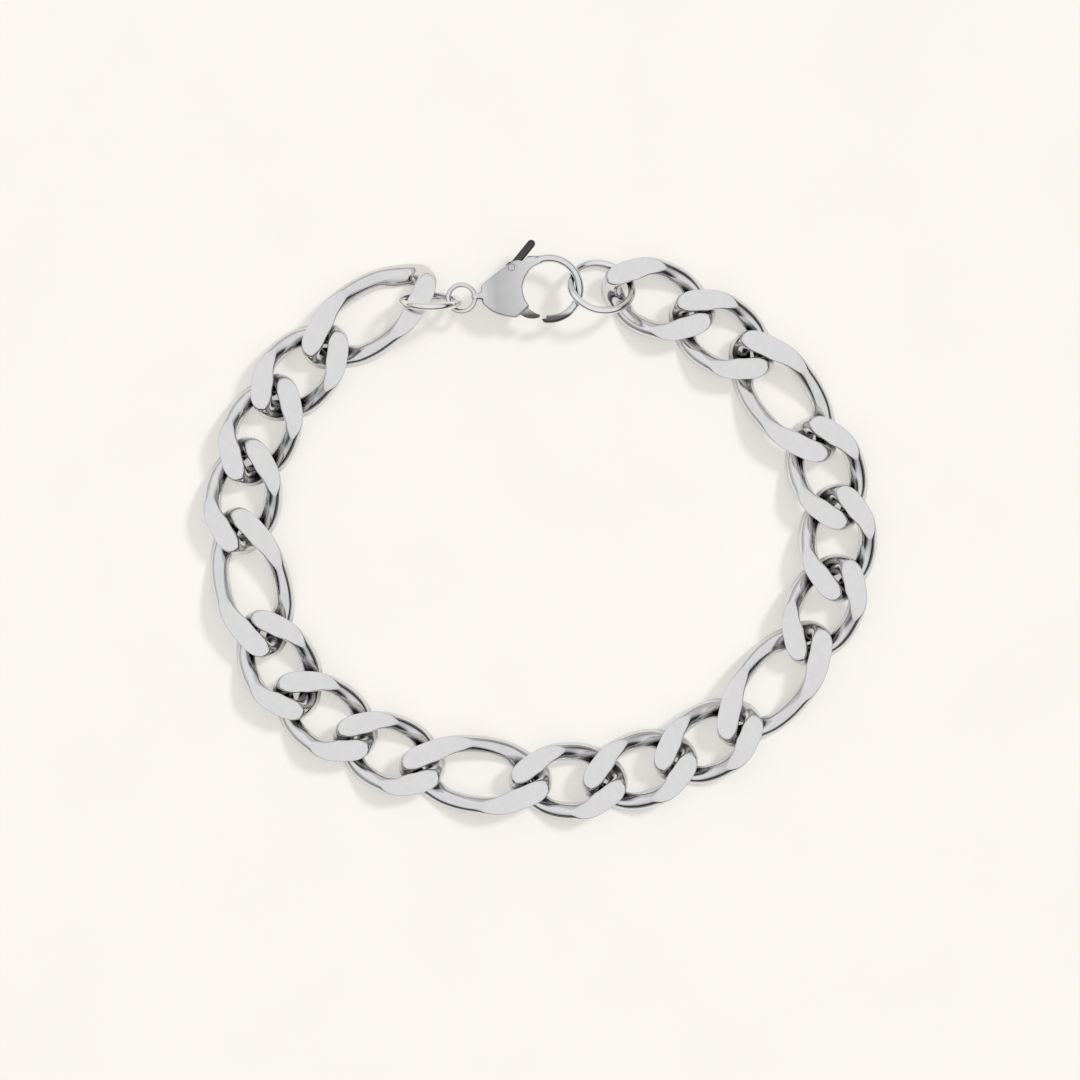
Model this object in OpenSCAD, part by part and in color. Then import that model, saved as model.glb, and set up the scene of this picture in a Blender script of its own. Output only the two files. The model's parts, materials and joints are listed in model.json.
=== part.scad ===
// A link bracelet, closed by its clasp and lying flat on a table. One long link is followed by
// three short ones. Every link is bent from heavy wire, twisted about its length and ground flat
// above and below. Two jump rings join the ends of the chain to a claw clasp with a sprung lever.
// +Z is up, X runs across the wider way of the closed loop and the clasp lies at +Y.

/* [Chain] */
// Number of links round the wrist
link_count = 19; // [15:1:23]
// One long link comes in every so many links
long_every = 4; // [3:1:6]
// Clear length inside a long link
long_hole = 13.6; // [11:0.1:17]
// Clear length inside a short link
short_hole = 9.4; // [8.6:0.1:12]
// Clear width inside a link
hole_w = 4.9; // [4.7:0.1:6.2]
// How far two joined links lie short of fully drawn out
slack = 1; // [0.8:0.1:1.4]

/* [Link wire] */
// Width of the wire along a link's sides, seen from above
side_w = 2.2; // [1.9:0.05:2.3]
// Width of the wire round a link's ends, seen from above
end_w = 2.3; // [2:0.05:2.6]
// Depth of the wire before the link is ground
wire_t = 2.2; // [1.9:0.05:2.3]
// Thickness of a link through its ground faces
link_t = 3.1; // [2.7:0.1:3.6]
// Twist from the middle of a link to each of its ends, in degrees
twist = 58; // [48:1:64]
// Bevel along the wire's four edges
bevel = 0.6; // [0.45:0.05:0.7]
// How much wider the ground faces are, on their inner side
face_spread = 0.2; // [0:0.05:0.25]

/* [Jump rings] */
// Diameter of the ring that the clasp is fixed to, to the middle of its wire
clasp_ring_d = 6.65; // [6.3:0.05:8]
// Diameter of the ring that the clasp closes on, to the middle of its wire
catch_ring_d = 7.4; // [7:0.05:8.5]
// Thickness of a jump ring's wire
ring_wire = 0.9; // [0.75:0.05:1.05]
// Lean of the ring that the clasp is fixed to, in degrees
clasp_ring_lean = 75; // [60:1:80]
// Lean of the ring that the clasp closes on, in degrees
catch_ring_lean = 38; // [35:1:55]

/* [Clasp] */
// Distance from the middle of the clasp's loop to the middle of its hook
clasp_reach = 10.35; // [9:0.05:13]
// Diameter of the hook, to the middle of its wire
hook_d = 7.15; // [6.4:0.05:9]
// Thickness of the hook's wire
hook_wire = 0.95; // [0.8:0.05:1.3]
// Diameter of the small loop, to the middle of its wire
loop_d = 3.15; // [2.8:0.05:4]
// Thickness of the small loop's wire
loop_wire = 0.6; // [0.4:0.05:0.8]
// Thickness of the body at its middle
body_t = 2.4; // [2.2:0.1:3.2]
// Height of the body's middle above the table
clasp_z = 3.4; // [3:0.1:3.8]

/* [Lever] */
// Thickness of the lever
lever_t = 0.95; // [0.7:0.05:1.1]
// Gap between the lever and each cheek of the body
lever_gap = 0.12; // [0.08:0.02:0.2]
// Diameter of the pin that the lever turns on
pin_d = 0.8; // [0.6:0.05:1]
// Gap round the pin in the lever, and round the lever in the body's slot
pin_gap = 0.08; // [0.05:0.01:0.12]
// Reach of the thumb piece, from the pin to the middle of its round end
thumb_len = 3.65; // [3:0.05:5]
// How far the lever opens, in degrees
lever_open = 25; // [15:1:30]

/* [Hidden] */
$fn = 64;
STEEL = [0.76, 0.77, 0.79];
BRIGHT = [0.86, 0.87, 0.89];

// Points that the closed loop of the chain runs through, in order, from the clasp's fixed end
ROUTE = [
    [-15, 28.5], [-29, 18.5], [-35, 6.5], [-34.5, -5.5], [-30, -17.5], [-18.5, -26], [-0.5, -29.5],
    [14, -27.5], [24.5, -21], [33.5, -8.5], [34, 6], [24.5, 20.5], [10.5, 28.5], [-4, 28.5]];
ROUTE_STEPS = 12;

// How each link lies: its slide along the route, in hundredths of a short link's pitch, and its
// turn from the route's direction, in degrees
LIE = [
    [-1, 1], [-1, -1], [-2, 1], [-5, -1], [-7, 2], [-10, -2], [-13, 4], [-8, -2], [-7, 2], [-1, -3],
    [1, 3], [5, -2], [4, 1], [5, -2], [2, 3], [2, -1], [1, -1], [-1, 2], [2, 2]];

// Rings of points round a link's wire, and the exponent that makes a link's oval squarer
LINK_RINGS = 36;
OVAL_POWER = 0.8;
OVAL_STEPS = 180;

// Outline of the clasp's body: the way along from the loop's middle to the hook's, as a share of
// the reach, and the places of the upper and lower edges as shares of the hook's radius
BODY = [
    [0.225, 0.26, -0.22], [0.245, 0.37, -0.33], [0.32, 0.51, -0.55], [0.43, 0.7, -0.72],
    [0.56, 0.92, -0.83], [0.67, 1.08, -0.86], [0.79, 1.13, -0.86], [0.95, 1.14, -0.86]];
BODY_STEPS = 4;
// Angle round the hook's middle at which the body ends and the bare lever begins
BODY_END = 216;

// The lever's arm round the hook's middle: angle in degrees, then the arm's place and half its
// width as shares of the hook's radius
ARM = [
    [145, 1.41, 0.2], [158, 1.2, 0.17], [172, 1.12, 0.15], [190, 1.1, 0.15], [207, 1.12, 0.17],
    [222, 1.09, 0.155], [235, 1.03, 0.1], [245, 0.965, 0.04]];

function mix(a, b, k) = a + (b - a)*k;
function smooth(v) = v*v*(3 - 2*v);
function rise(v, low, high) = smooth(min(max((v - low)/(high - low), 0), 1));
function spread(v) = sign(v)*pow(abs(v), OVAL_POWER);
function turned(p, a) = [p.x*cos(a) - p.y*sin(a), p.x*sin(a) + p.y*cos(a)];
function polar(r, a) = [r*cos(a), r*sin(a)];

// A smooth curve through four points in a row, between the second and the third
function bend(p, t) = 0.5*(2*p[1] + (p[2] - p[0])*t + (2*p[0] - 5*p[1] + 4*p[2] - p[3])*t*t
    + (3*p[1] - p[0] - 3*p[2] + p[3])*t*t*t);
function curve_through(points, steps) = let (last = len(points) - 1) [
    for (i = [0:last - 1], j = [0:steps - 1])
        bend([for (k = [-1:2]) points[min(max(i + k, 0), last)]], j/steps),
    points[last]];
function ring_through(points, steps) = let (n = len(points)) [
    for (i = [0:n - 1], j = [0:steps - 1])
        bend([for (k = [-1:2]) points[(i + k + n) % n]], j/steps),
    points[0]];
// Way along a list of points to each of them
function way(points) = [
    for (i = 0, s = 0; i < len(points);
        i = i + 1, s = s + (i < len(points) ? norm(points[i] - points[i - 1]) : 0)) s];
function paired(keys, values) = [for (i = [0:len(keys) - 1]) [keys[i], values[i]]];

// The chain's lengths
SHORT_PITCH = short_hole - slack;
LONG_PITCH = long_hole - slack;
function longs_to(i) = floor(i/long_every) + 1;
function is_long(i) = longs_to(i) > longs_to(i - 1);
function hole_len(i) = is_long(i) ? long_hole : short_hole;
function pitch(i) = is_long(i) ? LONG_PITCH : SHORT_PITCH;
link_w = hole_w + 2*side_w;
clasp_ring_r = clasp_ring_d/2;
catch_ring_r = catch_ring_d/2;
hook_r = hook_d/2;
loop_r = loop_d/2;

// The clasp's pieces lie on a line from the first link's free end to the last link's free end
CLASP_RING_AT = clasp_ring_r*[0.62, -0.61];
LOOP_FROM_RING = polar(clasp_ring_r + 0.12*loop_d, 7);
CLASP_LEAN = 6.8;
CATCH_FROM_HOOK = polar(hook_r + catch_ring_r - 1.18*ring_wire, 2.5);
CATCH_TO_END = catch_ring_r*[0.77, 0.01];
CATCH_TURN = -15.5;
LOOP_AT = CLASP_RING_AT + LOOP_FROM_RING;
HOOK_AT = LOOP_AT + polar(clasp_reach, CLASP_LEAN);
CLASP_SPAN = (HOOK_AT + CATCH_FROM_HOOK + CATCH_TO_END).x;

// The route, at the chain's full length, and the way on each side over which its direction is taken
HEADING_STEP = 0.12*SHORT_PITCH;
STATIONS = [for (i = 0, s = 0; i < link_count; s = s + pitch(i)/2 + pitch(i + 1)/2, i = i + 1)
    s + pitch(0)/2];
CHAIN_LEN = STATIONS[link_count - 1] + pitch(link_count - 1)/2;
LOOP_LEN = CHAIN_LEN + CLASP_SPAN;
ROUTE_CURVE = ring_through(ROUTE, ROUTE_STEPS);
ROUTE_WAY = way(ROUTE_CURVE);
ROUTE_SCALE = LOOP_LEN/ROUTE_WAY[len(ROUTE_WAY) - 1];
ROUTE_X = paired(ROUTE_SCALE*ROUTE_WAY, [for (p = ROUTE_CURVE) p.x*ROUTE_SCALE]);
ROUTE_Y = paired(ROUTE_SCALE*ROUTE_WAY, [for (p = ROUTE_CURVE) p.y*ROUTE_SCALE]);
function on_route(s) = let (v = (s + LOOP_LEN) % LOOP_LEN) [lookup(v, ROUTE_X), lookup(v, ROUTE_Y)];
function heading(s) = let (d = on_route(s + HEADING_STEP) - on_route(s - HEADING_STEP)) atan2(d.y, d.x);

// Each link's middle and direction on the route
function lie(i) = LIE[i % len(LIE)];
function link_at(i) = on_route(STATIONS[i] + lie(i)[0]*SHORT_PITCH/100);
function link_turn(i) = heading(STATIONS[i] + lie(i)[0]*SHORT_PITCH/100) + lie(i)[1];
function link_end(i, side) = link_at(i) + turned([side*pitch(i)/2, 0], link_turn(i));

// The clasp's own line, and places on it
LINE_START = link_end(0, -1);
LINE_END = link_end(link_count - 1, 1);
LINE_TURN = atan2(LINE_END.y - LINE_START.y, LINE_END.x - LINE_START.x);
function on_line(p) = LINE_START + turned(p, LINE_TURN);
CATCH_RING_AT = LINE_END - turned(CATCH_TO_END, LINE_TURN);
CLASP_TURN = LINE_TURN + CLASP_LEAN;

// The oval that a link's wire follows, with its points evenly spaced along it
function half_len(len) = (len - end_w)/2;
function half_w() = (link_w - side_w)/2;
function oval(len, u) = [half_len(len)*spread(cos(u)), half_w()*spread(sin(u))];
function oval_angles(len) = let (
    fine = [for (j = [0:OVAL_STEPS]) 360*j/OVAL_STEPS],
    s = way([for (u = fine) oval(len, u)]),
    table = paired(s, fine))
    [for (i = [0:LINK_RINGS - 1]) lookup(s[OVAL_STEPS]*i/LINK_RINGS, table)];
function oval_normal(len, u) = let (t = oval(len, u + 0.1) - oval(len, u - 0.1))
    [t.y, -t.x]/norm(t);

// The wire's section: a rectangle with its edges bevelled
function wire_section(w) = let (x = w/2, z = wire_t/2, c = bevel) [
    [x, c - z], [x, z - c], [x - c, z], [c - x, z], [-x, z - c], [-x, c - z], [c - x, -z], [x - c, -z]];

// One ring of points: the section across the wire, twisted, cut off at the ground faces and
// spread inwards beside them
function link_ring(len, u) = let (
    c = oval(len, u),
    n = oval_normal(len, u),
    share = abs(c.x)/half_len(len),
    w = mix(side_w, end_w, smooth(share)))
    [for (q = wire_section(w)) let (
        x = c.x + n.x*q.x,
        y = c.y + n.y*q.x,
        turn = -2*twist*x/len,
        low = (-link_t/2 - y*sin(turn))/cos(turn),
        high = (link_t/2 - y*sin(turn))/cos(turn),
        z = min(max(q.y, low), high),
        up = y*sin(turn) + z*cos(turn),
        push = face_spread*rise(share, 0.3, 0.65)*rise(2*abs(up)/link_t, 0.32, 0.84)*rise(0.5 - q.x/w, 0, 1))
        [x - push*n.x, y*cos(turn) - z*sin(turn) - push*n.y, up]];
function link_points(len) = [for (u = oval_angles(len)) each link_ring(len, u)];
SHORT_POINTS = link_points(short_hole + 2*end_w);
LONG_POINTS = link_points(long_hole + 2*end_w);
SIDES = len(wire_section(side_w));
LINK_FACES = [
    for (i = [0:LINK_RINGS - 1], q = [0:SIDES - 1], half = [0, 1]) let (
        a = i*SIDES + q,
        b = i*SIDES + (q + 1) % SIDES,
        c = ((i + 1) % LINK_RINGS)*SIDES + (q + 1) % SIDES,
        d = ((i + 1) % LINK_RINGS)*SIDES + q)
        half == 0 ? [a, b, c] : [a, c, d]];

// The neck, the pivot and the thumb piece, in the clasp's own frame with its loop's middle at the
// origin
NECK_LEN = BODY[1][0]*clasp_reach - loop_r;
HOOK_C = [clasp_reach, 0];
PIVOT = HOOK_C + polar(ARM[0][1]*hook_r, ARM[0][0]);
HUB_R = ARM[0][2]*hook_r;
THUMB_W = lever_t;
THUMB_ANGLE = 44.5;
THUMB_TIP = PIVOT + polar(thumb_len, THUMB_ANGLE);
TIP_ANGLE = 258;
ROOT_ANGLE = 112;
// The slot's upper end, which the heel of the lever's arm swings up to
HEEL_END = HOOK_C + polar(1.22*hook_r, ARM[0][0] - 0.4*lever_open);
HOOK_INNER = hook_r - hook_wire/2;
// The body's two domed faces, and how far from its middle they are at the pin
DOME_AT = [0.62*clasp_reach, 0.1*hook_r];
DOME_REACH = norm(HOOK_C + polar(hook_r, ROOT_ANGLE) - DOME_AT);
DOME_R = DOME_REACH*DOME_REACH/(body_t - hook_wire);
PIN_TOP = body_t/2 - DOME_R + sqrt(DOME_R*DOME_R - pow(norm(PIVOT - DOME_AT), 2));

// Middle of the whole bracelet, worked out from the outlines of its links and the thumb piece
SPOTS = [
    for (i = [0:link_count - 1], p = is_long(i) ? LONG_POINTS : SHORT_POINTS)
        link_at(i) + turned([p.x, p.y], link_turn(i)),
    on_line(LOOP_AT) + turned(THUMB_TIP, CLASP_TURN) + [0, THUMB_W/2]];
function middle(v) = (min(v) + max(v))/2;
CENTRE = [middle([for (p = SPOTS) p.x]), middle([for (p = SPOTS) p.y])];

// Names of the pieces
function two_digits(n) = n < 10 ? str("0", n) : str(n);
function link_name(i) = is_long(i) ? str("long_link_", longs_to(i))
    : str("short_link_", two_digits(i + 1 - longs_to(i)));
LINKS = [for (i = [0:link_count - 1]) link_name(i)];

module in_place() {
    translate([-CENTRE.x, -CENTRE.y, 0])
        children();
}

module one_link(i) {
    color(i % 2 == 0 ? STEEL : BRIGHT)
        in_place()
            translate([link_at(i).x, link_at(i).y, link_t/2])
                rotate([0, 0, link_turn(i)])
                    polyhedron(is_long(i) ? LONG_POINTS : SHORT_POINTS, LINK_FACES);
}

module torus(d, wire) {
    rotate_extrude()
        translate([d/2, 0])
            circle(d = wire, $fn = 32);
}

// A ring that lies on the table at its +Y side and leans up towards -Y
module leaning_ring(at, d, lean, turn) {
    in_place()
        translate([at.x, at.y, d/2*sin(lean) + ring_wire/2])
            rotate([0, 0, LINE_TURN + turn])
                rotate([-lean, 0, 0])
                    torus(d, ring_wire);
}

module clasp_ring() {
    color(BRIGHT)
        leaning_ring(on_line(CLASP_RING_AT), clasp_ring_d, clasp_ring_lean, 0);
}

module catch_ring() {
    color(BRIGHT)
        leaning_ring(CATCH_RING_AT, catch_ring_d, catch_ring_lean, CATCH_TURN);
}

// Puts a piece of the clasp from its own frame to where it lies
module on_clasp() {
    in_place()
        translate([on_line(LOOP_AT).x, on_line(LOOP_AT).y, clasp_z])
            rotate([0, 0, CLASP_TURN])
                children();
}

// The body's outline, with its two edges drawn through the table's points
module body_outline() {
    upper = curve_through([for (r = BODY) [r[0]*clasp_reach, r[1]*hook_r]], BODY_STEPS);
    lower = curve_through([for (r = BODY) [r[0]*clasp_reach, r[2]*hook_r]], BODY_STEPS);
    polygon(concat(upper, [for (i = [len(lower) - 1:-1:0]) lower[i]]));
}

// Edges of the lever's arm, outer and inner, in the clasp's frame
function arm_edge(side, extra) = [
    for (r = curve_through(ARM, 3)) HOOK_C + polar((r[1] + side*r[2])*hook_r + side*extra, r[0])];
module arm_outline(extra) {
    inner = arm_edge(-1, extra);
    polygon(concat(arm_edge(1, extra), [for (i = [len(inner) - 1:-1:0]) inner[i]]));
}

// The part of the body that the lever turns in, open towards the hook
module slot_outline() {
    clear = 2*pin_gap;
    polygon(concat(arm_edge(1, clear), [HOOK_C + polar(hook_r, TIP_ANGLE), HOOK_C, HEEL_END]));
    translate(PIVOT)
        circle(HUB_R + clear);
    // the way out for the thumb piece, as wide as it swings
    for (a = [0:5:lever_open])
        translate(PIVOT)
            rotate(THUMB_ANGLE + a)
                translate([0, -THUMB_W/2 - clear])
                    square([thumb_len, THUMB_W + 2*clear]);
}

module clasp_body() {
    color(STEEL)
        on_clasp()
            difference() {
                union() {
                    torus(loop_d, loop_wire);
                    translate([loop_r, 0, 0])
                        rotate([0, 90, 0])
                            cylinder(h = NECK_LEN, d1 = 1.4*loop_wire, d2 = 2.2*loop_wire);
                    difference() {
                        intersection() {
                            translate([0, 0, -body_t/2])
                                linear_extrude(body_t)
                                    body_outline();
                            for (side = [-1, 1])
                                translate([DOME_AT.x, DOME_AT.y, side*(DOME_R - body_t/2)])
                                    sphere(DOME_R);
                        }
                        translate([HOOK_C.x, HOOK_C.y, -body_t])
                            cylinder(h = 2*body_t, r = HOOK_INNER);
                        translate([HOOK_C.x, HOOK_C.y, -body_t])
                            rotate([0, 0, BODY_END])
                                translate([-hook_d, 0, 0])
                                    cube([2*hook_d, hook_d, 2*body_t]);
                    }
                    translate(HOOK_C) {
                        rotate([0, 0, TIP_ANGLE])
                            rotate_extrude(angle = 360 + ROOT_ANGLE - TIP_ANGLE)
                                translate([hook_r, 0])
                                    circle(d = hook_wire, $fn = 32);
                        translate(polar(hook_r, TIP_ANGLE))
                            sphere(d = hook_wire, $fn = 32);
                    }
                }
                translate([0, 0, -lever_t/2 - lever_gap])
                    linear_extrude(lever_t + 2*lever_gap)
                        slot_outline();
                translate([PIVOT.x, PIVOT.y, -body_t])
                    cylinder(h = 2*body_t, d = pin_d);
            }
}

module lever_pin() {
    color(BRIGHT)
        on_clasp()
            translate([PIVOT.x, PIVOT.y, -PIN_TOP])
                cylinder(h = 2*PIN_TOP, d = pin_d);
}

module lever() {
    color(BRIGHT)
        on_clasp()
            translate([0, 0, -lever_t/2])
                linear_extrude(lever_t)
                    difference() {
                        union() {
                            arm_outline(0);
                            translate(PIVOT)
                                circle(HUB_R);
                            translate(PIVOT)
                                rotate(THUMB_ANGLE)
                                    translate([0, -THUMB_W/2])
                                        square([thumb_len, THUMB_W]);
                            translate(THUMB_TIP)
                                circle(d = THUMB_W);
                        }
                        translate(PIVOT)
                            circle(d = pin_d + 2*pin_gap);
                    }
}

for (i = [0:link_count - 1])
    one_link(i);
clasp_ring();
clasp_body();
lever_pin();
lever();
catch_ring();
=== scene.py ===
"""A link bracelet of polished steel, lying closed on a pale table, seen from straight above."""

import json
import math

import bpy
import numpy as np
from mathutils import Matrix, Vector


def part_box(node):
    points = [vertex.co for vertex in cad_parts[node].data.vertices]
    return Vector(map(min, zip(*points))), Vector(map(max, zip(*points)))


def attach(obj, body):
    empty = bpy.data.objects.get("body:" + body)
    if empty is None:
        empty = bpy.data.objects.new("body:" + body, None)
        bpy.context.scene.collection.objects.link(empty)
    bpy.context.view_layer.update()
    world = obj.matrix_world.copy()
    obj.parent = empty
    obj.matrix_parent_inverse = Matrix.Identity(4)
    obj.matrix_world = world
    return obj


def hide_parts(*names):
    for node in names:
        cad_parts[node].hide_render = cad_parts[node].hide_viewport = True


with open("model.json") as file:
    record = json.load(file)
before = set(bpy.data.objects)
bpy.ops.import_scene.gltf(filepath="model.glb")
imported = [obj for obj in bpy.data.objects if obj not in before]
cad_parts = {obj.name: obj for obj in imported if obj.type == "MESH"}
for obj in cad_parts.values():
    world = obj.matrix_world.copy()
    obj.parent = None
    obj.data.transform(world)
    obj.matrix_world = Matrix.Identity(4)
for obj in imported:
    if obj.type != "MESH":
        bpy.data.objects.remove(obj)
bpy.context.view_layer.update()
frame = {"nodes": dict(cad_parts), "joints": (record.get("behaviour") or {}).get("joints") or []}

MM = 0.001

# The links, as in the solids, in millimetres and degrees
SHORT_LEN = 14.0
LONG_LEN = 18.2
LINK_W = 9.3
SIDE_W = 2.2
END_W = 2.3
WIRE_T = 2.2
LINK_T = 3.1
TWIST = 58
OVAL_POWER = 0.8

# How finely a link is meshed: rings along its wire, points on each flat and each flank of a ring,
# how much closer they stand at the corners, and the steps of the finer curves they are taken from
LINK_RINGS = 216
FLAT_STEPS = 16
FLANK_STEPS = 16
CROWDING = 0.8
OVAL_STEPS = 4000
ROUND_STEPS = 720
FINE_STEPS = 80
EVEN_STEPS = 800
EASE_STEPS = 15

# How a link's wire is rounded: the powers of its two sides, and how far out its crown lies
OUTER_POWER = 2.1
INNER_POWER = 1.9
CROWN = 0.2

# How it is ground: the least depth that is cut off, the softness of the edges, how far the ground
# faces spread inwards, and from which to which share of the half length and of the half height
LEAST_FLAT = 0.008
GROUND_EASE = 0.2
SPREAD = 0.5
SPREAD_ALONG = (0.3, 0.65)
SPREAD_UP = (0.32, 0.84)

# The jump rings: diameter to the middle of the wire, lean and turn, as in the solids, and their mesh
RING_WIRE = 0.9
RING_PLACES = {
    "clasp_ring": {"d": 6.65, "lean": 75, "turn": -0.518},
    "catch_ring": {"d": 7.4, "lean": 38, "turn": -16.018}}
RING_STEPS = 160
RING_SIDES = 32

# The clasp, as in the solids, in its own frame with its loop's middle at the origin
CLASP_TURN = 6.282
CLASP_REACH = 10.35
HOOK_R = 3.575
HOOK_WIRE = 0.95
LOOP_R = 1.575
LOOP_WIRE = 0.6
BODY_T = 2.4
LEVER_T = 0.95
LEVER_GAP = 0.12
PIN_D = 0.8
PIN_GAP = 0.08
THUMB_LEN = 3.65
THUMB_ANGLE = 44.5
TIP_ANGLE = 258
ROOT_ANGLE = 112
LEVER_OPEN = 25
BODY = [
    (0.225, 0.26, -0.22), (0.245, 0.37, -0.33), (0.32, 0.51, -0.55), (0.43, 0.7, -0.72),
    (0.56, 0.92, -0.83), (0.67, 1.08, -0.86), (0.79, 1.13, -0.86), (0.95, 1.14, -0.86)]
BODY_END = 216
ARM = [
    (145, 1.41, 0.2), (158, 1.2, 0.17), (172, 1.12, 0.15), (190, 1.1, 0.15), (207, 1.12, 0.17),
    (222, 1.09, 0.155), (235, 1.03, 0.1), (245, 0.965, 0.04)]
HEEL_REACH = 1.22
HEEL_SHARE = 0.4
DOME_AT = (0.62, 0.1)
NECK_HALVES = (0.7, 1.1)
SWING_STEP = 5
CURVE_STEPS = 5

# How finely the clasp is meshed, and the boxes that its pieces' fields are worked out in
BODY_GRID = 0.08
LEVER_GRID = 0.065
BODY_SPACE = ((-2.1, -4.4, -1.5), (14.7, 4.6, 1.5))
LEVER_SPACE = ((4.9, -4.1, -0.7), (9.6, 6.3, 0.7))
PIN_SPACE = ((5.6, 2.3, -1.2), (6.9, 3.5, 1.2))
NEWTON_STEPS = 4
SLOPE_SHARE = 20
LEAST_SLOPE = 0.2

# How round the clasp's edges are
CAST_FILLET = 0.15
NECK_FILLET = 0.15
BODY_EDGE = 0.25
END_EDGE = 0.15
CUT_EDGE = 0.06
LEVER_EDGE = 0.12
THUMB_EDGE = 0.35

# Painted shade and reflection on the clasp: how its steel is painted darker along the axes of its own
# frame, places and tints
BODY_PAINTED_SHADE = {
    "X": [(0, 1), (2.6, 0.95), (4.2, 0.72), (6.5, 0.82), (8.5, 1), (14.5, 1)],
    "Y": [(-4.2, 0.12), (-3.4, 0.2), (-3, 1), (4, 1)]}
LEVER_PAINTED_SHADE = {"Y": [(-3.3, 0.1), (-2.9, 0.16), (-2.2, 0.7), (2.8, 0.7), (3.5, 0.12), (6, 0.08)]}

# The four steels: dullest and brightest tint, least and most roughness, depth of the streaks, painted shade
# and reflection along the piece's own axes
STEELS = {
    "link_steel": (0.7, 0.74, 0.09, 0.15, 0.1, {}),
    "ring_steel": (0.78, 0.82, 0.08, 0.14, 0.06, {}),
    "clasp_steel": (0.7, 0.74, 0.13, 0.2, 0.08, BODY_PAINTED_SHADE),
    "lever_steel": (0.68, 0.74, 0.13, 0.2, 0.08, LEVER_PAINTED_SHADE)}
STREAK_STRETCH = (0.5, 5, 5)
STREAK_HEIGHT = 0.02
STREAKS = {"Scale": 2.2, "Detail": 5, "Roughness": 0.6}
MOTTLE = {"Scale": 0.9, "Detail": 3, "Roughness": 0.55}
NOISE_ENDS = (0.3, 0.7)

# The painted shade in recesses: how far around a place is looked at, and its tint by how open the place is
RECESS_SHADE_REACH = 2.5
RECESS_SHADE_SAMPLES = 8
RECESS_SHADE_TINTS = [(0.36, (0.02, 0.02, 0.022)), (0.48, (0.35, 0.35, 0.36)), (0.62, (1.0, 1.0, 1.0))]

# The table: half its width in metres, its grain, its two warm tints, and how much it gives off
TABLE_HALF_M = 1.5
TABLE_GRAIN = {"Scale": 60, "Detail": 3}
TABLE_TINTS = ((0.327, 0.317, 0.297), (0.333, 0.323, 0.303))
TABLE_GLOW = 1.6

# The lamp: strength, width, angle from straight above and direction, in degrees
LAMP_ENERGY = 2.5
LAMP_WIDTH = 11
LAMP_LEAN = 45
LAMP_SIDE = 34

# The photograph: its frame in pixels, the scale, and the point under its middle in millimetres
PHOTO_PIXELS = 1080
PIXELS_PER_MM = 8.5
VIEW_AT = (-0.032, -1.056)
LENS = 100
SENSOR = 36
CLIP_M = (0.01, 10)

# The studio's brightness from the horizon up, on its darker and its paler side, and the way to the
# darker one
DARK_SIDE = [
    (0, 0.2), (0.05, 0.04), (0.14, 0.3), (0.24, 0.2), (0.32, 0.01), (0.46, 0.01), (0.55, 0.7), (0.63, 0.93),
    (0.8, 0.88), (1, 0.97)]
PALE_SIDE = [
    (0, 0.5), (0.05, 0.25), (0.12, 0.5), (0.24, 0.75), (0.34, 0.6), (0.5, 1), (0.75, 0.9), (1, 0.97)]
DARK_TOWARDS = (0.5, -0.87, 0)
DARK_ENDS = (-0.75, 0.25)

# The Mix node's sockets that carry colours
MIX_FIRST, MIX_SECOND, MIX_COLOUR = 6, 7, 2


def mix(a, b, k):
    return a + (b - a)*k


def smooth(v):
    v = np.clip(v, 0, 1)
    return v*v*(3 - 2*v)


def rise(v, ends):
    """From 0 to 1 as a value goes from one end to the other."""
    return smooth((v - ends[0])/(ends[1] - ends[0]))


def soft_min(a, b, reach):
    h = np.clip(0.5 + 0.5*(b - a)/reach, 0, 1)
    return mix(b, a, h) - reach*h*(1 - h)


def soft_max(a, b, reach):
    return -soft_min(-a, -b, reach)


def polar(r, degrees):
    return np.array([r*math.cos(math.radians(degrees)), r*math.sin(math.radians(degrees))])


def turned(points, degrees):
    """Points turned about Z."""
    c, s = math.cos(math.radians(degrees)), math.sin(math.radians(degrees))
    x, y, z = points.T
    return np.stack([x*c - y*s, x*s + y*c, z], -1)


def new_piece(node, own, placed, faces, material, body):
    """A piece that stands for a solid: its points in its own frame and in place, in millimetres."""
    name = node + "_finish"
    mesh = bpy.data.meshes.new(name)
    mesh.from_pydata((placed*MM).tolist(), [], [tuple(f) for f in faces.tolist()])
    mesh.polygons.foreach_set("use_smooth", [True]*len(mesh.polygons))
    grain = mesh.attributes.new("own_place", "FLOAT_VECTOR", "POINT")
    grain.data.foreach_set("vector", np.asarray(own, np.float32).ravel())
    mesh.materials.append(material)
    mesh.update()
    piece = bpy.data.objects.new(name, mesh)
    bpy.context.scene.collection.objects.link(piece)
    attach(piece, body)
    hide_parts(node)
    return piece


def tube_faces(rings, sides):
    """Quads of a closed tube whose points run ring by ring."""
    i, q = np.meshgrid(np.arange(rings), np.arange(sides), indexing="ij")
    j, r = (i + 1) % rings, (q + 1) % sides
    return np.stack([i*sides + q, j*sides + q, j*sides + r, i*sides + r], -1).reshape(-1, 4)


# Links


def oval(length, u):
    """Middle of a link's wire in plan, for angles u."""
    c, s = np.cos(u), np.sin(u)
    x = (length - END_W)/2*np.sign(c)*np.abs(c)**OVAL_POWER
    y = (LINK_W - SIDE_W)/2*np.sign(s)*np.abs(s)**OVAL_POWER
    return np.stack([x, y], -1)


def oval_frames(length):
    """Evenly spaced middles, normals and widths of the wire along a link's oval."""
    fine = np.linspace(0, 2*np.pi, OVAL_STEPS + 1)
    hops = np.linalg.norm(np.diff(oval(length, fine), axis=0), axis=1)
    way = np.concatenate([[0], np.cumsum(hops)])
    u = np.interp(np.arange(LINK_RINGS)/LINK_RINGS*way[-1], way, fine)
    step = math.radians(0.1)
    tangent = oval(length, u + step) - oval(length, u - step)
    tangent /= np.linalg.norm(tangent, axis=1)[:, None]
    middle = oval(length, u)
    width = mix(SIDE_W, END_W, smooth(np.abs(middle[:, 0])/((length - END_W)/2)))
    return middle, np.stack([tangent[:, 1], -tangent[:, 0]], -1), width


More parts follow.
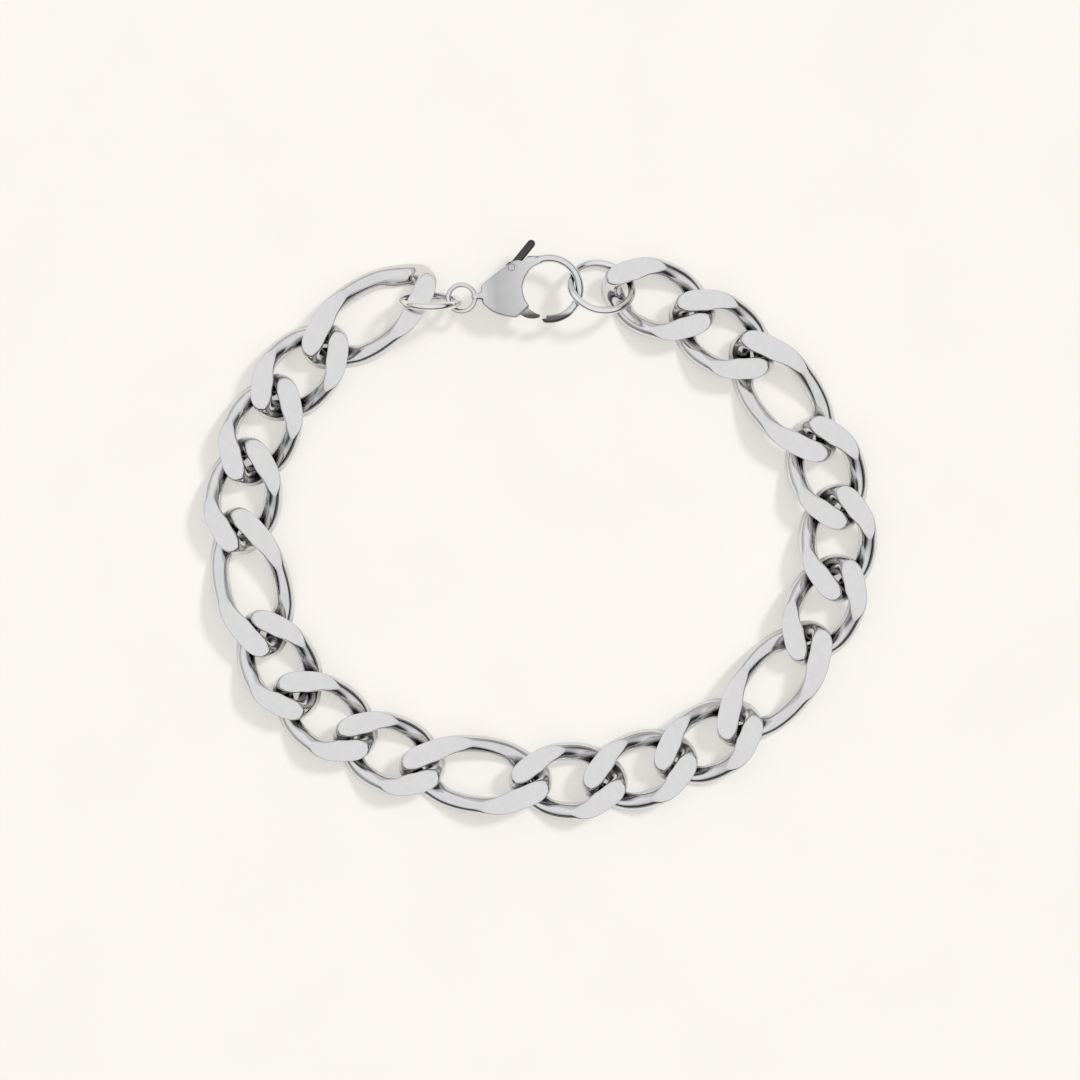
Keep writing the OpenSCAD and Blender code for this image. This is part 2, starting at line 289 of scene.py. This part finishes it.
def section_side(across, width):
    """Half width and power of the wire's section on the side where a place across it lies."""
    outer = across > CROWN
    return np.where(outer, width/2 - CROWN, width/2 + CROWN), np.where(outer, OUTER_POWER, INNER_POWER)


def wire_section(angle, width):
    """The wire's section before it is ground: places across and up, for angles round it.

    It is squarer on the oval's outer side and rounder on the inner one.
    """
    c, s = np.cos(angle), np.sin(angle)
    half, power = section_side(CROWN + c, width)
    share = 2/power
    return CROWN + half*np.sign(c)*np.abs(c)**share, WIRE_T/2*np.sign(s)*np.abs(s)**share


def section_top(across, width):
    """Height of the section's upper side at places across it."""
    half, power = section_side(across, width)
    return WIRE_T/2*np.clip(1 - (np.abs(across - CROWN)/half)**power, 0, 1)**(1/power)


def ground_edges(heights):
    """The two angles round a section between which it is ground off, or would be first."""
    middle = ROUND_STEPS//2
    shift = middle - int(np.argmax(heights))
    row = np.roll(heights, shift)
    level = min(LINK_T/2, row[middle] - LEAST_FLAT)
    before = np.flatnonzero(row[:middle] < level)[-1]
    after = middle + np.flatnonzero(row[middle:] < level)[0]
    first = before + (level - row[before])/(row[before + 1] - row[before])
    last = after - (level - row[after])/(row[after - 1] - row[after])
    return [(v - shift)*2*math.pi/ROUND_STEPS for v in (first, last)]


def crowded(steps):
    """Shares from 0 to 1, closer together at both ends."""
    t = np.arange(steps)/steps
    return mix(t, smooth(t), CROWDING)


def eased(curve, corners):
    """Points of a closed curve, close together at its corners, and the corners rounded.

    Each point is the mean of a short stretch of the curve, so none is outside it.
    """
    loop = np.concatenate([curve, curve[:1]])
    way = np.concatenate([[0], np.cumsum(np.linalg.norm(np.diff(loop, axis=0), axis=1))])
    places = np.arange(EVEN_STEPS)/EVEN_STEPS*way[-1]
    even = np.stack([np.interp(places, way, v) for v in loop.T], -1)
    stretch = range(-EASE_STEPS, EASE_STEPS + 1)
    mean = sum(np.roll(even, k, axis=0) for k in stretch)/len(stretch)
    ends = [*way[corners], way[-1]]
    steps = [FLAT_STEPS, FLANK_STEPS]*2
    wanted = np.concatenate([mix(a, b, crowded(k)) for a, b, k in zip(ends, ends[1:], steps)])
    return np.stack([np.interp(wanted, places, v, period=way[-1]) for v in mean.T], -1)


def link_shape(length):
    """A whole link with its middle at the origin, and its faces."""
    rate = -2*math.radians(TWIST)/length
    around = np.arange(ROUND_STEPS)*2*math.pi/ROUND_STEPS
    points = []
    for c, n, w in zip(*oval_frames(length)):
        inwards = SPREAD*rise(2*abs(c[0])/(length - END_W), SPREAD_ALONG)

        def twisted(s, z):
            """Plan place, turn and height of the wire at places across and up."""
            x, y = c[0] + n[0]*s, c[1] + n[1]*s
            sin, cos = np.sin(rate*x), np.cos(rate*x)
            return x, y, sin, cos, y*sin + z*cos

        def solid(s, z):
            """Points of the wire, ground at the faces and pressed a little wider beside them."""
            x, y, sin, cos, up = twisted(s, z)
            up = soft_max(soft_min(up, LINK_T/2, GROUND_EASE), -LINK_T/2, GROUND_EASE)
            z = (up - y*sin)/cos
            push = inwards*rise(2*np.abs(up)/LINK_T, SPREAD_UP)*smooth(0.5 - s/w)
            return np.stack([x - push*n[0], y*cos - z*sin - push*n[1], up], -1)

        def flank(first, last):
            return solid(*wire_section(np.linspace(first, last, FINE_STEPS, endpoint=False), w))

        def face(first, last, side):
            s = np.linspace(*wire_section(np.array([first, last]), w)[0], FINE_STEPS, endpoint=False)
            return solid(s, side*section_top(s, w))

        heights = twisted(*wire_section(around, w))[-1]
        a, b = ground_edges(heights)
        d, e = ground_edges(-heights)
        whole = 2*math.pi*math.ceil((b - d)/(2*math.pi))
        d, e = d + whole, e + whole
        curve = np.concatenate([face(a, b, 1), flank(b, d), face(d, e, -1), flank(e, a + 2*math.pi)])
        points.append(eased(curve, np.arange(4)*FINE_STEPS))
    return np.concatenate(points), tube_faces(LINK_RINGS, len(points[0]))


def link_lie(node):
    """Middle and direction of a link's solid. Its own length is the main axis of its points."""
    co = np.array([v.co for v in frame["nodes"][node].data.vertices])
    co = np.unique(np.round(co, 6), axis=0)/MM
    low, high = co.min(0), co.max(0)
    x, y = (co - (low + high)/2).T[:2]
    return (low + high)/2, math.degrees(0.5*math.atan2(2*(x*y).sum(), (x*x - y*y).sum()))


def make_links(material):
    shapes = {"long": link_shape(LONG_LEN), "short": link_shape(SHORT_LEN)}
    for node in sorted(frame["nodes"]):
        kind = node.split("_")[0]
        if kind not in shapes:
            continue
        points, faces = shapes[kind]
        at, heading = link_lie(node)
        new_piece(node, points, turned(points, heading) + at, faces, material, "bracelet")


# Jump rings


def make_ring(node, material):
    """A round wire ring in its solid's place, leaning as the solid leans."""
    place = RING_PLACES[node]
    u = np.arange(RING_STEPS)/RING_STEPS*2*math.pi
    v = np.arange(RING_SIDES)/RING_SIDES*2*math.pi
    u, v = np.meshgrid(u, v, indexing="ij")
    r = place["d"]/2 + RING_WIRE/2*np.cos(v)
    own = np.stack([r*np.cos(u), r*np.sin(u), RING_WIRE/2*np.sin(v)], -1).reshape(-1, 3)
    lean = math.radians(-place["lean"])
    x, y, z = own.T
    leaning = np.stack([x, y*math.cos(lean) - z*math.sin(lean), y*math.sin(lean) + z*math.cos(lean)], -1)
    low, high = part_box(node)
    at = (np.array(low) + np.array(high))/2/MM
    placed = turned(leaning, place["turn"]) + at
    new_piece(node, own, placed, tube_faces(RING_STEPS, RING_SIDES), material, "bracelet")


# Clasp


HOOK_AT = np.array([CLASP_REACH, 0])
PIVOT = HOOK_AT + polar(ARM[0][1]*HOOK_R, ARM[0][0])
THUMB_TIP = PIVOT + polar(THUMB_LEN, THUMB_ANGLE)


def curve_through(rows):
    """A smooth curve through rows of numbers."""
    rows = np.array(rows, float)
    last = len(rows) - 1
    t = (np.arange(CURVE_STEPS)/CURVE_STEPS)[:, None]
    out = []
    for i in range(last):
        p = [rows[min(max(i + k, 0), last)] for k in (-1, 0, 1, 2)]
        out.append(0.5*(2*p[1] + (p[2] - p[0])*t + (2*p[0] - 5*p[1] + 4*p[2] - p[3])*t*t
                        + (3*p[1] - p[0] - 3*p[2] + p[3])*t**3))
    return np.concatenate(out + [rows[last:]])


def body_outline():
    rows = curve_through(BODY)
    x, upper, lower = rows[:, 0]*CLASP_REACH, rows[:, 1]*HOOK_R, rows[:, 2]*HOOK_R
    return np.concatenate([np.stack([x, upper], -1), np.stack([x, lower], -1)[::-1]])


def arm_edge(side, extra):
    return np.array([HOOK_AT + polar((r + side*w)*HOOK_R + side*extra, a)
                     for a, r, w in curve_through(ARM)])


def to_outline(p, outline):
    """Distance of plan points from a closed outline, below zero inside it."""
    best = np.full(len(p), np.inf)
    inside = np.zeros(len(p), bool)
    for a, b in zip(outline, np.roll(outline, -1, axis=0)):
        ab, ap = b - a, p - a
        t = np.clip(ap @ ab/(ab @ ab + 1e-12), 0, 1)
        best = np.minimum(best, np.sum((ap - t[:, None]*ab)**2, axis=1))
        crosses = (a[1] > p[:, 1]) != (b[1] > p[:, 1])
        climb = ab[1] if ab[1] else 1e-12
        inside ^= crosses & (p[:, 0] < ab[0]*(p[:, 1] - a[1])/climb + a[0])
    return np.sqrt(best)*np.where(inside, -1, 1)


def to_bar(p, start, end, radius):
    """Distance of points from a round bar between two places."""
    way = end - start
    t = np.clip((p - start) @ way/(way @ way), 0, 1)
    return np.linalg.norm(p - start - t[:, None]*way, axis=1) - radius


def to_arc(p, first, last):
    """Distance of plan points from the hook's circle line, between two angles."""
    q = p - HOOK_AT
    a = (np.degrees(np.arctan2(q[:, 1], q[:, 0])) - first) % 360
    along = a <= last - first
    ends = [np.linalg.norm(q - polar(HOOK_R, e), axis=1) for e in (first, last)]
    return np.where(along, np.abs(np.linalg.norm(q, axis=1) - HOOK_R), np.minimum(*ends))


BODY_LINE = body_outline()
SLOT_LINE = np.concatenate([
    arm_edge(1, 2*PIN_GAP), [HOOK_AT + polar(HOOK_R, TIP_ANGLE), HOOK_AT,
    HOOK_AT + polar(HEEL_REACH*HOOK_R, ARM[0][0] - HEEL_SHARE*LEVER_OPEN)]])
ARM_LINE = np.concatenate([arm_edge(1, 0), arm_edge(-1, 0)[::-1]])


def body_plan(p):
    """What the body's field needs of each plan point: its own side and the slot's."""
    hollow = HOOK_R - HOOK_WIRE/2 - np.linalg.norm(p - HOOK_AT, axis=1)
    plate = soft_max(to_outline(p, BODY_LINE), hollow, CUT_EDGE)
    end = polar(1, BODY_END)
    plate = soft_max(plate, (p[:, 1] - HOOK_AT[1])*end[0] - (p[:, 0] - HOOK_AT[0])*end[1], END_EDGE)
    slot = np.minimum(to_outline(p, SLOT_LINE),
                      np.linalg.norm(p - PIVOT, axis=1) - ARM[0][2]*HOOK_R - 2*PIN_GAP)
    for opened in range(0, LEVER_OPEN + 1, SWING_STEP):
        end = PIVOT + polar(THUMB_LEN, THUMB_ANGLE + opened)
        slot = np.minimum(slot, to_bar(p, PIVOT, end, LEVER_T/2 + 2*PIN_GAP))
    bore = np.linalg.norm(p - PIVOT, axis=1) - PIN_D/2
    return plate, to_arc(p, TIP_ANGLE, 360 + ROOT_ANGLE), slot, bore


def domed(p, z):
    """Distance from the body's two domed faces, below zero between them."""
    middle = np.array([DOME_AT[0]*CLASP_REACH, DOME_AT[1]*HOOK_R])
    reach = np.linalg.norm(HOOK_AT + polar(HOOK_R, ROOT_ANGLE) - middle)
    r = reach**2/(BODY_T - HOOK_WIRE)
    return np.hypot(np.linalg.norm(p - middle, axis=1), np.abs(z) + r - BODY_T/2) - r


def body_field(p, z, plan):
    """The cast body: a domed plate, the hook's wire and the small loop, run into one another."""
    plate, arc, slot, bore = plan
    solid = soft_max(plate, domed(p, z), BODY_EDGE)
    solid = soft_min(solid, np.hypot(arc, z) - HOOK_WIRE/2, CAST_FILLET)
    loop = np.hypot(np.linalg.norm(p, axis=1) - LOOP_R, z) - LOOP_WIRE/2
    points = np.column_stack([p, z])
    taper = smooth((p[:, 0] - LOOP_R)/(BODY[1][0]*CLASP_REACH - LOOP_R))
    neck = to_bar(points, np.array([LOOP_R, 0, 0]), np.array([BODY[1][0]*CLASP_REACH, 0, 0]), 0)
    neck = neck - mix(*NECK_HALVES, taper)*LOOP_WIRE
    solid = soft_min(solid, soft_min(loop, neck, NECK_FILLET), NECK_FILLET)
    cut = np.maximum(slot, np.abs(z) - LEVER_T/2 - LEVER_GAP)
    return np.maximum(soft_max(solid, -cut, CUT_EDGE), -bore)


def lever_plan(p):
    """What the lever's field needs of each plan point: its arm, thumb piece and bore."""
    hub = np.linalg.norm(p - PIVOT, axis=1)
    arm = soft_min(to_outline(p, ARM_LINE), hub - ARM[0][2]*HOOK_R, LEVER_EDGE)
    return arm, to_bar(p, PIVOT, THUMB_TIP, LEVER_T/2), hub - PIN_D/2 - PIN_GAP


def lever_field(p, z, plan):
    """The flat arm with its edges eased, and the rounder thumb piece."""
    arm, thumb, bore = plan
    depth = np.abs(z) - LEVER_T/2
    solid = soft_min(soft_max(arm, depth, LEVER_EDGE), soft_max(thumb, depth, THUMB_EDGE), LEVER_EDGE)
    return soft_max(solid, -bore, CUT_EDGE)


def skin(plan, field, low, high, step):
    """A closed mesh of quads on a field's zero level, with its points drawn onto the level."""
    low, high = np.array(low, float), np.array(high, float)
    n = np.ceil((high - low)/step).astype(int) + 1
    columns = np.stack(np.meshgrid(*[low[k] + step*np.arange(n[k]) for k in (0, 1)], indexing="ij"), -1)
    columns = columns.reshape(-1, 2)
    facts = [np.repeat(v, n[2]) for v in plan(columns)]
    heights = np.tile(low[2] + step*np.arange(n[2]), len(columns))
    value = field(np.repeat(columns, n[2], axis=0), heights, facts).reshape(n)
    inside = value < 0
    total, count = np.zeros((*n, 3)), np.zeros(n)
    crossings = []
    for k in range(3):
        first = [slice(None)]*3
        second = [slice(None)]*3
        first[k], second[k] = slice(0, -1), slice(1, None)
        at = np.argwhere(inside[tuple(first)] != inside[tuple(second)])
        ahead = at + np.eye(3, dtype=int)[k]
        a, b = value[tuple(at.T)], value[tuple(ahead.T)]
        place = at + np.eye(3)[k]*(a/(a - b))[:, None]
        one, two = np.eye(3, dtype=int)[(k + 1) % 3], np.eye(3, dtype=int)[(k + 2) % 3]
        cells = [at - one - two, at - two, at, at - one]
        for cell in cells:
            np.add.at(total, tuple(cell.T), place)
            np.add.at(count, tuple(cell.T), 1)
        crossings.append((cells, inside[tuple(at.T)]))
    number = np.full(n, -1)
    used = np.argwhere(count > 0)
    number[tuple(used.T)] = np.arange(len(used))
    points = low + step*total[tuple(used.T)]/count[tuple(used.T)][:, None]
    faces = []
    for cells, starts_inside in crossings:
        quad = np.stack([number[tuple(c.T)] for c in cells], -1)
        faces.append(np.where(starts_inside[:, None], quad, quad[:, ::-1]))
    small = step/SLOPE_SHARE

    def at_points(q):
        return field(q[:, :2], q[:, 2], plan(q[:, :2]))

    for _ in range(NEWTON_STEPS):
        here = at_points(points)
        slope = np.stack([(at_points(points + small*np.eye(3)[k]) - here)/small for k in range(3)], -1)
        move = -here[:, None]*slope/np.maximum((slope**2).sum(1), LEAST_SLOPE)[:, None]
        points = points + np.clip(move, -step/2, step/2)
    return points, np.concatenate(faces)


def on_clasp(points):
    """Points from the clasp's own frame to where it lies, found from the lever's pivot."""
    pivot = np.array(frame["joints"][0]["pos_m"])/MM
    return turned(points - np.array([*PIVOT, 0]), CLASP_TURN) + pivot


def make_body(material):
    points, faces = skin(body_plan, body_field, *BODY_SPACE, BODY_GRID)
    new_piece("clasp_body", points, on_clasp(points), faces, material, "bracelet")


def make_lever(material):
    points, faces = skin(lever_plan, lever_field, *LEVER_SPACE, LEVER_GRID)
    new_piece("lever", points, on_clasp(points), faces, material, "lever")


def pin_plan(p):
    return [np.linalg.norm(p - PIVOT, axis=1) - PIN_D/2]


def pin_field(p, z, plan):
    """A plain pin, worn flush with the cheeks."""
    return np.maximum(plan[0], domed(p, z))


def make_pin(material):
    points, faces = skin(pin_plan, pin_field, *PIN_SPACE, LEVER_GRID)
    new_piece("lever_pin", points, on_clasp(points), faces, material, "bracelet")


# Materials


def add_node(tree, kind, **values):
    """A shader node with its named inputs set."""
    made = tree.nodes.new(kind)
    for key, value in values.items():
        made.inputs[key.replace("_", " ")].default_value = value
    return made


def ramp(tree, source, stops):
    """A colour ramp from grey stops or RGB ones."""
    made = tree.nodes.new("ShaderNodeValToRGB")
    tree.links.new(source, made.inputs[0])
    marks = made.color_ramp.elements
    while len(marks) < len(stops):
        marks.new(0.5)
    for mark, (place, colour) in zip(marks, stops):
        mark.position = place
        mark.color = (*colour, 1) if isinstance(colour, tuple) else (colour, colour, colour, 1)
    return made.outputs[0]


def mixed(tree, one, two, blend="MIX"):
    """A node that mixes two colours."""
    made = tree.nodes.new("ShaderNodeMix")
    made.data_type = "RGBA"
    made.blend_type = blend
    tree.links.new(one, made.inputs[MIX_FIRST])
    tree.links.new(two, made.inputs[MIX_SECOND])
    return made


def multiplied(tree, one, two):
    """Two colours multiplied."""
    made = mixed(tree, one, two, "MULTIPLY")
    made.inputs["Factor"].default_value = 1
    return made.outputs[MIX_COLOUR]


def noise_ramp(tree, noise, low, high):
    """A colour ramp over the middle of a noise."""
    return ramp(tree, noise.outputs["Fac"], list(zip(NOISE_ENDS, (low, high))))


def steel(name, dull, bright, smoothest, roughest, streak, painted_shades):
    """Polished steel: faint grinding streaks along the piece, a soft mottle, and shade painted darker into
    its recesses.

    The painted shades are rows of place and tint along axes of the piece's own frame: shade and reflection
    painted into the colour.
    """
    made = bpy.data.materials.new(name)
    made.use_nodes = True
    tree = made.node_tree
    shader = tree.nodes["Principled BSDF"]
    shader.inputs["Metallic"].default_value = 1
    place = tree.nodes.new("ShaderNodeAttribute")
    place.attribute_name = "own_place"
    stretched = add_node(tree, "ShaderNodeMapping", Scale=STREAK_STRETCH)
    tree.links.new(place.outputs["Vector"], stretched.inputs["Vector"])
    streaks = add_node(tree, "ShaderNodeTexNoise", **STREAKS)
    mottle = add_node(tree, "ShaderNodeTexNoise", **MOTTLE)
    tree.links.new(stretched.outputs[0], streaks.inputs["Vector"])
    tree.links.new(place.outputs["Vector"], mottle.inputs["Vector"])
    tint = noise_ramp(tree, mottle, dull, bright)
    parts = tree.nodes.new("ShaderNodeSeparateXYZ")
    tree.links.new(place.outputs["Vector"], parts.inputs[0])
    # Painted shade and reflection: the tint is made darker along the piece's own axes
    for axis, rows in painted_shades.items():
        first, last = rows[0][0], rows[-1][0]
        share = add_node(tree, "ShaderNodeMapRange", From_Min=first, From_Max=last)
        tree.links.new(parts.outputs[axis], share.inputs["Value"])
        along = ramp(tree, share.outputs[0], [((at - first)/(last - first), v) for at, v in rows])
        tint = multiplied(tree, tint, along)
    # Painted shade: the colour is darkened where nearby surfaces close the place in, as in gaps and
    # recesses
    recess = add_node(tree, "ShaderNodeAmbientOcclusion", Distance=RECESS_SHADE_REACH*MM)
    recess.samples = RECESS_SHADE_SAMPLES
    tree.links.new(tint, recess.inputs["Color"])
    recess_shade = ramp(tree, recess.outputs["AO"], RECESS_SHADE_TINTS)
    tree.links.new(multiplied(tree, tint, recess_shade), shader.inputs["Base Color"])
    tree.links.new(noise_ramp(tree, streaks, smoothest, roughest), shader.inputs["Roughness"])
    bump = add_node(tree, "ShaderNodeBump", Strength=streak, Distance=STREAK_HEIGHT*MM)
    tree.links.new(streaks.outputs["Fac"], bump.inputs["Height"])
    tree.links.new(bump.outputs[0], shader.inputs["Normal"])
    return made


def table_paper():
    """The pale warm table, all but smooth, and lit a little from below, which keeps its shadows faint."""
    made = bpy.data.materials.new("table")
    made.use_nodes = True
    tree = made.node_tree
    shader = tree.nodes["Principled BSDF"]
    shader.inputs["Roughness"].default_value = 0.95
    shader.inputs["Specular IOR Level"].default_value = 0.0
    where = tree.nodes.new("ShaderNodeTexCoord")
    noise = add_node(tree, "ShaderNodeTexNoise", **TABLE_GRAIN)
    tree.links.new(where.outputs["Object"], noise.inputs["Vector"])
    tint = noise_ramp(tree, noise, *TABLE_TINTS)
    tree.links.new(tint, shader.inputs["Base Color"])
    tree.links.new(tint, shader.inputs["Emission Color"])
    shader.inputs["Emission Strength"].default_value = TABLE_GLOW
    return made


# Table, light and camera


def make_table():
    corners = [(x*TABLE_HALF_M, y*TABLE_HALF_M, 0) for x, y in ((-1, -1), (1, -1), (1, 1), (-1, 1))]
    mesh = bpy.data.meshes.new("table")
    mesh.from_pydata(corners, [], [(0, 1, 2, 3)])
    mesh.materials.append(table_paper())
    table = bpy.data.objects.new("table", mesh)
    bpy.context.scene.collection.objects.link(table)


def make_world():
    """A pale studio, with a dark band low down that is deepest towards the photo's lower right."""
    world = bpy.data.worlds.new("studio")
    bpy.context.scene.world = world
    world.use_nodes = True
    tree = world.node_tree
    tree.nodes.clear()
    out = tree.nodes.new("ShaderNodeOutputWorld")
    light = add_node(tree, "ShaderNodeBackground", Strength=1)
    where = tree.nodes.new("ShaderNodeTexCoord")
    parts = tree.nodes.new("ShaderNodeSeparateXYZ")
    tree.links.new(where.outputs["Generated"], parts.inputs[0])
    dark_side = ramp(tree, parts.outputs["Z"], DARK_SIDE)
    pale_side = ramp(tree, parts.outputs["Z"], PALE_SIDE)
    towards = tree.nodes.new("ShaderNodeVectorMath")
    towards.operation = "DOT_PRODUCT"
    tree.links.new(where.outputs["Generated"], towards.inputs[0])
    towards.inputs[1].default_value = DARK_TOWARDS
    share = add_node(tree, "ShaderNodeMapRange", From_Min=DARK_ENDS[0], From_Max=DARK_ENDS[1])
    share.interpolation_type = "SMOOTHSTEP"
    tree.links.new(towards.outputs["Value"], share.inputs["Value"])
    both = mixed(tree, pale_side, dark_side)
    tree.links.new(share.outputs[0], both.inputs["Factor"])
    tree.links.new(both.outputs[MIX_COLOUR], light.inputs["Color"])
    tree.links.new(light.outputs[0], out.inputs["Surface"])


def make_sun():
    """The soft lamp at the upper right, which gives the shadows their side."""
    lamp = bpy.data.lights.new("lamp", "SUN")
    lamp.energy = LAMP_ENERGY
    lamp.angle = math.radians(LAMP_WIDTH)
    made = bpy.data.objects.new("lamp", lamp)
    made.rotation_euler = (0, math.radians(LAMP_LEAN), math.radians(LAMP_SIDE))
    made.visible_glossy = False
    bpy.context.scene.collection.objects.link(made)


def make_camera():
    camera = bpy.data.cameras.new("camera")
    camera.lens = LENS
    camera.sensor_width = SENSOR
    camera.clip_start, camera.clip_end = CLIP_M
    made = bpy.data.objects.new("camera", camera)
    height = PHOTO_PIXELS/PIXELS_PER_MM*LENS/SENSOR + LINK_T
    made.location = (VIEW_AT[0]*MM, VIEW_AT[1]*MM, height*MM)
    bpy.context.scene.collection.objects.link(made)
    bpy.context.scene.camera = made


metal = {name: steel(name, *looks) for name, looks in STEELS.items()}
make_links(metal["link_steel"])
for ring in RING_PLACES:
    make_ring(ring, metal["ring_steel"])
make_body(metal["clasp_steel"])
make_lever(metal["lever_steel"])
make_pin(metal["clasp_steel"])
make_table()
make_world()
make_sun()
make_camera()
bpy.context.scene.view_settings.view_transform = "Standard"
